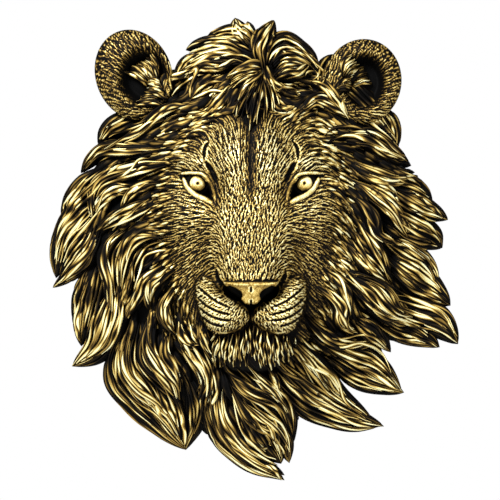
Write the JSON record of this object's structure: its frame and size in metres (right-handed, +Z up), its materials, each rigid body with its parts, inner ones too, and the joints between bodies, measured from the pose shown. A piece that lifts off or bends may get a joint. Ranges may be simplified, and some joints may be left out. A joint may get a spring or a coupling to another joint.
{
  "type": "animal head wall sculpture",
  "caption": "Lion's head wall sculpture in antiqued gold resin, with a full mane of flowing locks, a flat back and a keyhole pocket to hang it by.",
  "frame": {"origin": "on the flat back, behind the bridge of the nose, where the wall is met", "axes": "+Y into the wall, so the face looks along -Y; +X to the right of someone looking at the face; +Z up"},
  "size_m": [0.2635, 0.0814, 0.2987],
  "materials": {
    "antiqued_gold": "cast resin, painted near black, with gold rubbed on the raised hair and a satin clear coat"
  },
  "bodies": {
    "root": {"lion_head": "antiqued_gold"}
  },
  "joints": []
}
